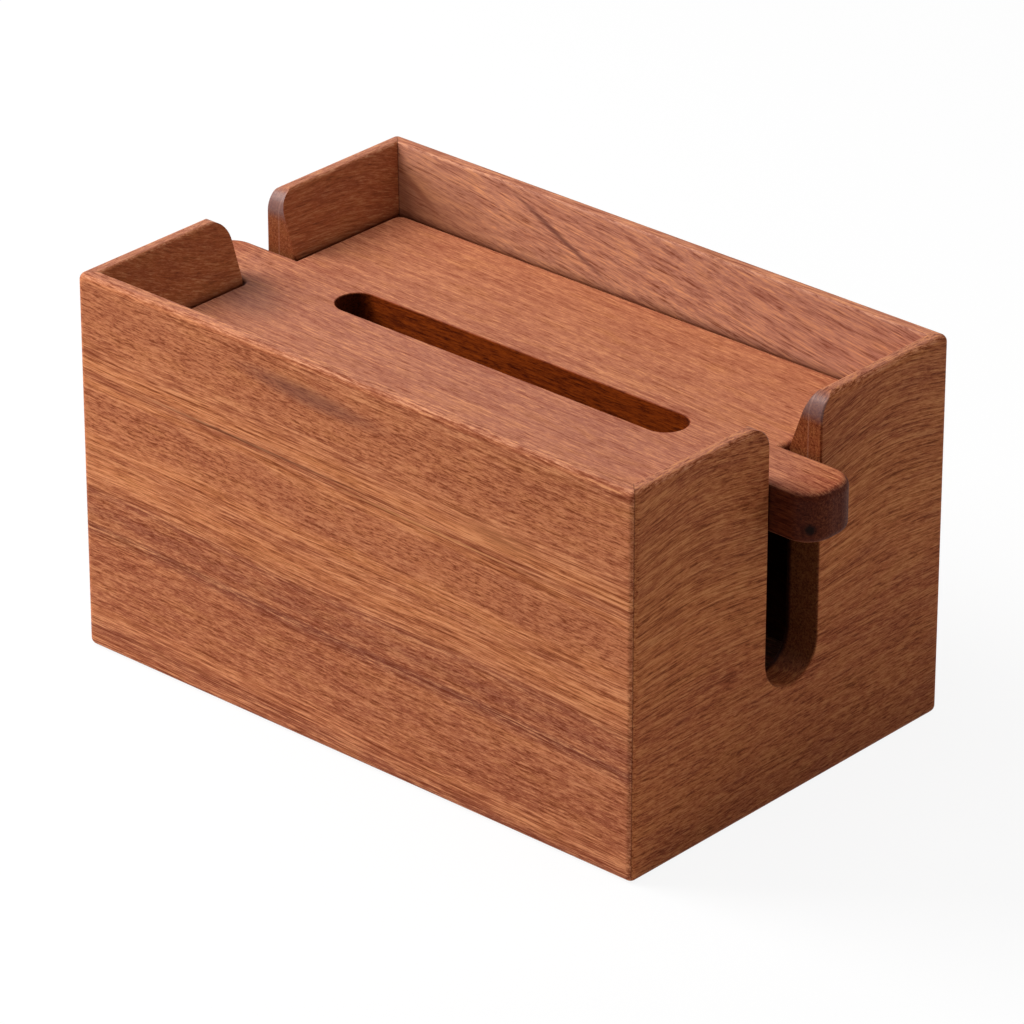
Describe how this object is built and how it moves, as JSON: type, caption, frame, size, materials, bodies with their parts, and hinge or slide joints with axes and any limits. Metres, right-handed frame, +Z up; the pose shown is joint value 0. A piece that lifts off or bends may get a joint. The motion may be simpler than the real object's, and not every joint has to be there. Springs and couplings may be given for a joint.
{
  "type": "tissue box holder",
  "caption": "Open-topped wooden tissue box holder with mitred walls, a thin bevelled rim and a slotted lid board whose end tongues slide in tall slots in the end walls.",
  "frame": {"origin": "middle of the case's underside, on the surface it stands on", "axes": "+X along the case and its tongues, -Y towards the front board, +Z up"},
  "size_m": [0.251, 0.14, 0.125],
  "materials": {
    "case_wood": "oiled satin, open grain",
    "lid_wood": "oiled satin, fine sanded",
    "bottom_wood": "plain sanded",
    "spline_wood": "plain sanded"
  },
  "bodies": {
    "case": {"front_panel": "case_wood", "back_panel": "case_wood", "left_end_panel": "case_wood", "right_end_panel": "case_wood", "bottom_panel": "bottom_wood", "corner_spline_front_left": "spline_wood", "corner_spline_front_right": "spline_wood", "corner_spline_back_left": "spline_wood", "corner_spline_back_right": "spline_wood"},
    "lid": {"lid_board": "lid_wood"}
  },
  "joints": [
    {"name": "lid_slide", "type": "slide", "parent": "case", "child": "lid", "axis": [0, 0, 1], "range_m": [-0.0455, 0.045]}
  ]
}
